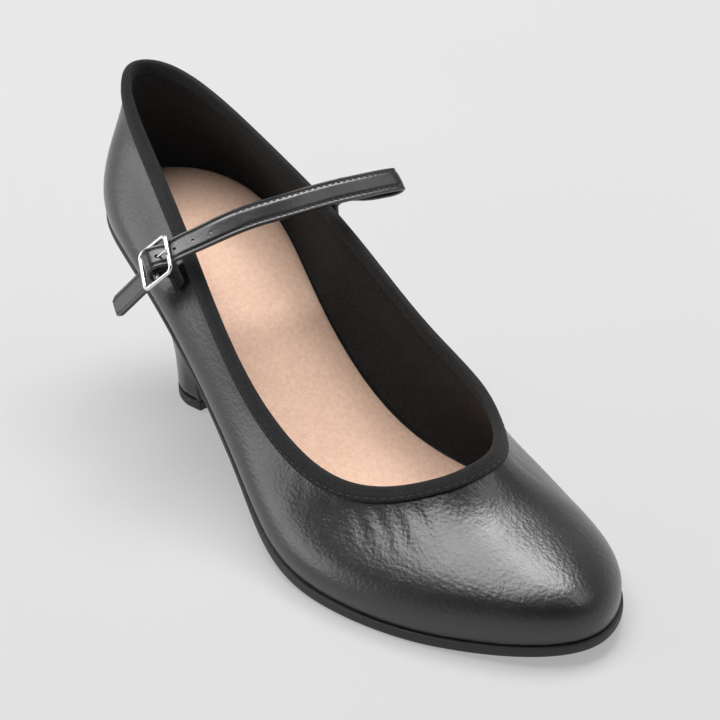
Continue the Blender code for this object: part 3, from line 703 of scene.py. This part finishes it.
print("materials")
throat = {"centre": (-3.0, -112.0), "lines": 30.0, "wander": 150.0, "depth": 0.085,
          "reach": (14.0, 24.0, 30.0, 40.0)}
leather = leatherFinish("leather", around=throat)
lining = wovenFinish("lining", 0.018, 0.9, 0.10, fuzz=0.05)
tape = wovenFinish("tape", 0.015, 0.62, 0.14, "along", 0.08)
thread = threadFinish("thread", 0.018)
# painted sheen: the strap's black thread is coloured dark grey, lighter than the other thread
strapThreadPaintedSheen = threadFinish("strapThreadPaintedSheen", 0.05)
suede = suedeFinish("suede")
soleEdge = rubberFinish("soleEdge", 0.012, (0.45, 0.6))
tread = treadFinish("tread")
heelCover = leatherFinish("heelCover", 0.007, (0.32, 0.42), 0.045)
tipRubber = rubberFinish("tipRubber", 0.018, (0.6, 0.75), 1200, 0.09, 0.8)
strapLeather = leatherFinish("strapLeather", 0.006, (0.30, 0.38), 0.03, 0.35)
elastic = wovenFinish("elastic", 0.012, 0.8, 0.2, "along", 0.1)
metal = metalFinish("metal")

print("upper")
upper = makeUpper()
print("tape")
toplineTape, tapePoints = makeTape()


def tapeStitches(points, surface):
    # the seam that holds the tape, a little above its outer lower edge
    lower, upperEdge, inner = points[0], points[-1], points[1]
    width = np.linalg.norm(upperEdge - lower, axis=1, keepdims=True)
    line = lower + (upperEdge - lower) / width * tapeLook["stitchUp"] * mm
    outward = lower - inner
    outward /= np.linalg.norm(outward, axis=1, keepdims=True)
    line, outward = np.vstack([line, line[:1]]), np.vstack([outward, outward[:1]])
    onTape = []
    for point, normal in zip(line, outward):
        hit = surface.find_nearest(Vector(point + normal * 0.4 * mm))[0]
        onTape.append(np.array(hit) + normal * 0.02 * mm)
    return stitchRow("toplineStitches", onTape, outward, thread, tapeLook["stitchLength"],
                     tapeLook["stitchRadius"], tapeLook["stitchEvery"])


def makeInsole():
    # the sock: the CAD sheet rounded, dished a little under the heel
    piece = copyOfNode("insole", "insoleSock")
    keepSharp(piece, 60, 0.6)
    applyModifier(piece, "SUBSURF", levels=2, render_levels=2)
    co, normal = vertexArrays(piece)
    top = smoothStep(normal[:, 2], 0.3, 0.7)
    low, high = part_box("insole")
    heelward = smoothStep(co[:, 1], -0.035, 0.01)
    side = (co[:, 0] - 0.5 * (low.x + high.x)) / (0.5 * (high.x - low.x))
    dish = (0.5 * side ** 2 * heelward - 0.15 * heelward) * mm
    co[:, 2] += dish * top
    moveVertices(piece, co)
    piece.data.materials.append(suede)
    smoothShade(piece, 50)
    return piece


def makeOutsole():
    # the sole with its crisp top edge, and a patterned tread below
    piece = copyOfNode("outsole", "outsoleRubber")
    keepSharp(piece, 45, 0.75)
    applyModifier(piece, "SUBSURF", levels=2, render_levels=2)
    piece.data.materials.append(soleEdge)
    piece.data.materials.append(tread)
    for polygon in piece.data.polygons:
        polygon.material_index = 1 if polygon.normal.z < -0.7 else 0
    smoothShade(piece, 50)
    return piece


# the cover's seam as (y, height) mm
heelLook = {"cornerAngle": 48, "seam": [(-25.2, 47.5), (-24.4, 43.0), (-22.9, 37.0)],
            "seamDepth": 0.25, "seamWidth": 0.6}


def makeHeel():
    # the heel, covered in the upper's leather, with the cover's short seam on the inner side
    piece = copyOfNode("heel", "heelCover")
    keepSharp(piece, heelLook["cornerAngle"], 0.85)
    applyModifier(piece, "SUBSURF", levels=2, render_levels=2)
    co, normal = vertexArrays(piece)
    line = np.array(heelLook["seam"]) * mm
    gap = np.full(len(co), 1.0)
    for low, high in zip(line[:-1], line[1:]):
        run = high - low
        share = np.clip(((co[:, 1:] - low) @ run) / (run @ run), 0, 1)
        gap = np.minimum(gap, np.linalg.norm(co[:, 1:] - (low + share[:, None] * run), axis=1))
    groove = -heelLook["seamDepth"] * mm * np.exp(-(gap / (heelLook["seamWidth"] * mm)) ** 2)
    groove *= normal[:, 0] > 0.3
    moveVertices(piece, co + normal * groove[:, None])
    piece.data.materials.append(heelCover)
    smoothShade(piece, 40)
    return piece


def makeHeelTip():
    piece = copyOfNode("heel_tip", "heelTipRubber")
    applyModifier(piece, "BEVEL", width=0.3 * mm, segments=3, limit_method="ANGLE",
                  angle_limit=math.radians(40))
    piece.data.materials.append(tipRubber)
    smoothShade(piece, 40)
    return piece


strapLook = {
    "width": 7.9, "thickness": 1.4, "stepsAlong": 300, "stepsAcross": 26,
    "holePitch": 6.0, "holes": 3, "holeRadius": 0.5, "prongHoleRadius": 0.72,
    "edgeRound": 0.45, "lineIn": 1.3, "lineDepth": 0.24, "lineWidth": 0.30,
    "padFrom": 24.0, "padRise": 0.14, "stitchFrom": 27.0, "stitchEvery": 2.0, "stitchLength": 1.35,
    "stitchRadius": 0.2, "clip": 1.6,
}


def makeStrap(turned):
    look = strapLook
    path = Path("strap", (0.026, -0.032, 0.069))
    # where the prong comes up through the strap
    prong = turned @ (Vector((0, -buckleLook["prongHole"], buckleLook["prongLoop"])) * mm)
    prongAt = path.nearest(prong)
    here = path.lay([(prongAt, 0, 0), (prongAt, mm, 0)])
    prongSide = float((np.array(prong) - here[0]) @ (here[1] - here[0])) / mm
    band = flatBand("instepStrap", path.total, look["width"] * mm, look["thickness"] * mm,
                    look["stepsAlong"], look["stepsAcross"])
    co, _ = vertexArrays(band)
    along, across, face = co[:, 0], co[:, 1] / mm, co[:, 2]
    half, out = 0.5 * look["width"], np.abs(co[:, 1]) / mm
    # rounded edges, a creased line inside each edge, and a padded middle past the holes
    over = np.clip((out - (half - look["edgeRound"])) / look["edgeRound"], 0, 1)
    shape = np.sqrt(np.clip(1 - 0.85 * over ** 2, 0, 1))
    line = look["lineDepth"] * np.exp(-((out - (half - look["lineIn"])) / look["lineWidth"]) ** 2)
    padded = smoothStep(along, prongAt + look["padFrom"] * mm, prongAt + (look["padFrom"] + 8) * mm)
    pad = look["padRise"] * padded * (1 - smoothStep(out, 1.4, half - look["lineIn"]))
    co[:, 2] = face * shape + np.where(face > 0, (pad - line) * mm, 0.35 * line * mm)
    # the free end's corners are clipped
    tip = np.clip(1 - along / (look["clip"] * mm), 0, 1)
    co[:, 1] = across * mm * (1 - 0.26 * tip)
    moveVertices(band, co)
    holes = [(prongAt + look["holePitch"] * number * mm, 0) for number in range(1, look["holes"] + 1)]
    punch(band, [(prongAt, prongSide)], look["prongHoleRadius"] * mm, 6 * mm)
    punch(band, holes, look["holeRadius"] * mm, 6 * mm)
    band.data.materials.append(strapLeather)
    # two rows of stitches on the flat strap, before it is bent
    rows = []
    start, end = prongAt + look["stitchFrom"] * mm, path.total - 3 * mm
    runAlong = np.arange(start, end, 1.0 * mm)
    for sign in (-1, 1):
        flat = np.column_stack([runAlong, np.full(len(runAlong), sign * (half - look["lineIn"]) * mm),
                                np.full(len(runAlong), 0.5 * look["thickness"] * mm - 0.04 * mm)])
        raised = flat + np.array([0, 0, 1 * mm])
        laid, laidUp = path.lay(flat), path.lay(raised)
        ups = (laidUp - laid) / mm
        rows.append(stitchRow(f"strapStitches{(sign + 3) // 2}", laid, ups, strapThreadPaintedSheen, look["stitchLength"],
                              look["stitchRadius"], look["stitchEvery"]))
    layFlatPiece(band, path)
    smoothShade(band, 40)
    stitches = joinAll(rows, "strapStitches")
    print("strap:", round(path.total / mm, 1), "mm long, prong hole at", round(prongAt / mm, 1))
    return band, stitches


chapeLook = {"width": 7.6, "thickness": 0.6, "stepsAlong": 90, "stepsAcross": 14, "slot": (5.6, 1.7)}


def makeChape(centre):
    look = chapeLook
    path = Path("buckle_chape", (-0.030, -0.031, 0.058))
    band = flatBand("elasticChape", path.total, look["width"] * mm, look["thickness"] * mm,
                    look["stepsAlong"], look["stepsAcross"])
    layer = band.data.uv_layers.new(name="along")
    for loop in band.data.loops:
        x, y, _ = band.data.vertices[loop.vertex_index].co
        layer.data[loop.index].uv = (x, y)
    # the slot that the prong's loop sits in, where the tape turns round the bar
    deselectAll()
    at = path.nearest(centre)
    bpy.ops.mesh.primitive_cube_add(size=1.0, location=(at, 0, 0))
    cutter = bpy.context.object
    cutter.scale = (look["slot"][0] * mm, look["slot"][1] * mm, 5 * mm)
    settlePlace(cutter)
    applyModifier(band, "BOOLEAN", operation="DIFFERENCE", object=cutter, solver="EXACT")
    bpy.data.objects.remove(cutter)
    co, _ = vertexArrays(band)
    out = np.clip((np.abs(co[:, 1]) / mm - 0.5 * look["width"] + 0.3) / 0.3, 0, 1)
    co[:, 2] *= np.sqrt(np.clip(1 - 0.8 * out ** 2, 0, 1))
    moveVertices(band, co)
    layFlatPiece(band, path)
    band.data.materials.append(elastic)
    smoothShade(band, 40)
    return band


buckleLook = {
    "centre": (-36.0, -31.3, 70.4), "turn": 16.6, "lean": 24.8, "drop": 57.2, "skew": 8.5,
    "length": 14.2, "width": 13.9, "corner": 1.6, "wire": 0.78, "flatten": 0.8, "bar": 0.5,
    "prongWire": 0.44, "prongLoop": 1.2, "prongReach": 7.6, "prongRise": 0.2, "prongHole": 2.6,
}


def buckleFrame():
    # X runs across the strap, Y past the bar along it, Z out from the shoe
    look = buckleLook
    turn, lean, drop = (math.radians(look[key]) for key in ("turn", "lean", "drop"))
    across = Vector((math.sin(turn) * math.cos(lean), math.cos(turn) * math.cos(lean), math.sin(lean)))
    level = Vector((0, 0, 1)).cross(across).normalized()
    past = math.cos(drop) * level + math.sin(drop) * level.cross(across)
    skew = Matrix.Rotation(math.radians(-look["skew"]), 3, "Z")
    turned = (Matrix((across, past, across.cross(past))).transposed() @ skew).to_4x4()
    turned.translation = Vector(look["centre"]) * mm
    return turned


def pipe(obj, radius, resolution=5):
    # a run of edges or a curve becomes a round wire
    selectOnly(obj)
    if obj.type == "MESH":
        bpy.ops.object.convert(target="CURVE")
    curve = bpy.context.object
    curve.data.bevel_depth = radius
    curve.data.bevel_resolution = resolution
    curve.data.use_fill_caps = True
    bpy.ops.object.convert(target="MESH")
    wire = bpy.context.object
    editStart(wire, "SELECT")
    bpy.ops.mesh.remove_doubles(threshold=0.005 * mm)
    bpy.ops.mesh.normals_make_consistent(inside=False)
    editEnd()
    return wire


def makeBuckle(turned):
    look = buckleLook
    deselectAll()
    bpy.ops.mesh.primitive_plane_add(size=1.0)
    ring = bpy.context.object
    ring.scale = ((look["width"] - 2 * look["wire"]) * mm, (look["length"] - 2 * look["wire"]) * mm, 1)
    settlePlace(ring)
    editStart(ring, "SELECT")
    bpy.ops.mesh.bevel(offset=look["corner"] * mm, segments=9, affect="VERTICES")
    bpy.ops.mesh.delete(type="ONLY_FACE")
    editEnd()
    ring = pipe(ring, look["wire"] * mm, 6)
    # the cast frame is flatter than round wire
    ring.scale = (1, 1, look["flatten"])
    settlePlace(ring)
    deselectAll()
    bpy.ops.mesh.primitive_cylinder_add(vertices=24, radius=look["bar"] * mm,
                                        depth=(look["width"] - 1.6 * look["wire"]) * mm)
    bar = bpy.context.object
    bar.rotation_euler = (0, math.radians(90), 0)
    settlePlace(bar)
    applyModifier(bar, "BEVEL", width=0.15 * mm, segments=3, limit_method="ANGLE")
    whole = joinAll([ring, bar], "buckleFrame")
    whole.data.transform(turned)
    whole.data.materials.clear()
    whole.data.materials.append(metal)
    smoothShade(whole, 40)
    return whole


def makeProng(turned):
    look = buckleLook
    points, radii = [], []
    for turn in np.radians(np.linspace(-165, 90, 22)):
        points.append((0, look["prongLoop"] * math.cos(turn), look["prongLoop"] * math.sin(turn)))
        radii.append(1.0)
    for share, radius in ((0.25, 1.0), (0.5, 1.0), (0.75, 0.95), (0.9, 0.85), (0.97, 0.62), (1.0, 0.3)):
        rise = look["prongLoop"] + look["prongRise"] * share
        points.append((0, -look["prongReach"] * share, rise))
        radii.append(radius)
    curve = bpy.data.curves.new("buckleProng", "CURVE")
    curve.dimensions = "3D"
    spline = curve.splines.new("POLY")
    spline.points.add(len(points) - 1)
    for made, point, radius in zip(spline.points, points, radii):
        made.co = (*(value * mm for value in point), 1)
        made.radius = radius
    prong = bpy.data.objects.new("buckleProng", curve)
    scene.collection.objects.link(prong)
    prong = pipe(prong, look["prongWire"] * mm, 5)
    prong.name = "buckleProng"
    prong.data.transform(turned)
    prong.data.materials.clear()
    prong.data.materials.append(metal)
    smoothShade(prong, 60)
    return prong


def seamStitches(surface):
    # one row beside the inner quarter seam, on the quarter's side
    line = np.array(quarterSeam["line"][1:])
    heights = np.linspace(line[-1][1] + 1.5, line[0][1] - 1.0, 24)
    points, ups = [], []
    for height in heights:
        along = np.interp(height, line[::-1, 1], line[::-1, 0]) + quarterSeam["stitchGap"]
        outside = Vector((quarterSeam["side"], along, height)) * mm
        hit, normal, _, _ = surface.ray_cast(outside, Vector((-1, 0, 0)))
        if hit is not None and normal.x > 0:
            points.append(np.array(hit) + np.array(normal) * 0.03 * mm)
            ups.append(np.array(normal))
    return stitchRow("quarterStitches", points, ups, thread, 1.3, 0.13, 2.0)


print("tape stitches")
tapeSewing = tapeStitches(tapePoints, surfaceOf(toplineTape))
quarterSewing = seamStitches(surfaceOf(upper))
print("insole, sole and heel")
insoleSock = makeInsole()
outsoleRubber = makeOutsole()
heel = makeHeel()
heelTip = makeHeelTip()
print("strap")
turned = buckleFrame()
instepStrap, strapSewing = makeStrap(turned)
print("buckle")
elasticChape = makeChape(turned.translation)
buckle = makeBuckle(turned)
prong = makeProng(turned)

pieces = [
    (upper, "upper", "upper_leather"),
    (toplineTape, "topline_binding", "woven_tape"),
    (insoleSock, "insole", "insole_suede"),
    (outsoleRubber, "outsole", "sole_rubber"),
    (heel, "heel", "heel_cover"),
    (heelTip, "heel_tip", "tip_rubber"),
    (instepStrap, "strap", "strap_leather"),
    (elasticChape, "buckle_chape", "chape_elastic"),
    (buckle, "buckle_frame", "buckle_metal"),
    (prong, "buckle_prong", "buckle_metal"),
    (tapeSewing, None, "woven_tape"),
    (quarterSewing, None, "upper_leather"),
    (strapSewing, None, "strap_leather"),
]
for piece, node, slot in pieces:
    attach(piece, "root")
    if node:
        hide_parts(node)

print("floor, lights and camera")
studio = {
    "floorSize": 6.0, "horizon": 0.78, "zenith": 0.08,
    # name: (place, aim, width, height, watts)
    "lights": {
        "overheadPanel": ((0.05, 0.26, 1.25), (0.05, 0.22, 0.0), 1.35, 0.75, 18.5),
        "keySoftbox": ((0.50, 0.16, 1.10), (0.0, -0.14, 0.03), 0.5, 0.4, 3.0),
        "rightCard": ((0.62, -0.47, 1.00), (0.0, -0.05, 0.06), 0.45, 0.35, 1.1),
        "leftCard": ((-1.2, 0.8, 0.45), (0.0, -0.05, 0.05), 1.0, 0.8, 5.0),
    },
}
deselectAll()
bpy.ops.mesh.primitive_plane_add(size=studio["floorSize"], location=(0, 0, -0.0002))
floor = bpy.context.object
floor.name = "studioFloor"
settlePlace(floor)
floor.data.materials.append(floorFinish("floor"))

for name, (place, aim, width, height, watts) in studio["lights"].items():
    lamp = bpy.data.lights.new(name, "AREA")
    lamp.shape = "RECTANGLE"
    lamp.size, lamp.size_y, lamp.energy = width, height, watts
    holder = bpy.data.objects.new(name, lamp)
    holder.location = place
    holder.rotation_euler = (Vector(aim) - Vector(place)).to_track_quat("-Z", "Y").to_euler()
    scene.collection.objects.link(holder)

world = bpy.data.worlds.new("studio")
world.use_nodes = True
sky = world.node_tree.nodes
sky.new("ShaderNodeTexCoord")
sky.new("ShaderNodeSeparateXYZ")
sky.new("ShaderNodeMapRange")
world.node_tree.links.new(sky["Texture Coordinate"].outputs["Generated"], sky["Separate XYZ"].inputs[0])
world.node_tree.links.new(sky["Separate XYZ"].outputs["Z"], sky["Map Range"].inputs["Value"])
world.node_tree.links.new(sky["Map Range"].outputs["Result"], sky["Background"].inputs["Strength"])
sky["Map Range"].inputs["From Max"].default_value = 0.75
sky["Map Range"].inputs["To Min"].default_value = studio["horizon"]
sky["Map Range"].inputs["To Max"].default_value = studio["zenith"]
sky["Background"].inputs["Color"].default_value = (1, 1, 1, 1)
scene.world = world

# the photograph's viewing angle and place, with a longer lens that fills the frame with the one shoe
view = {"azimuth": -36.98, "elevation": 30.04, "roll": 0.47, "distance": 0.6878, "lens": 115.6,
        "centre": (0.0, -0.09, 0.045), "aside": (0.0253, 0.0105), "shift": (-0.126, -0.0215)}
azimuth, elevation = math.radians(view["azimuth"]), math.radians(view["elevation"])
towardCamera = Vector((math.sin(azimuth) * math.cos(elevation), -math.cos(azimuth) * math.cos(elevation),
                       math.sin(elevation)))
sideways = Vector((math.cos(azimuth), math.sin(azimuth), 0))
upward = towardCamera.cross(sideways)
camera = bpy.data.objects.new("camera", bpy.data.cameras.new("camera"))
camera.data.lens = view["lens"]
camera.data.sensor_width = 36
camera.data.shift_x, camera.data.shift_y = view["shift"]
scene.collection.objects.link(camera)
roll = Matrix.Rotation(math.radians(view["roll"]), 3, "Z")
aim = Matrix((sideways, upward, towardCamera)).transposed() @ roll
camera.rotation_euler = aim.to_euler()
camera.location = (Vector(view["centre"]) + towardCamera * view["distance"] + aim.col[0] * view["aside"][0]
                   + aim.col[1] * view["aside"][1])
scene.camera = camera
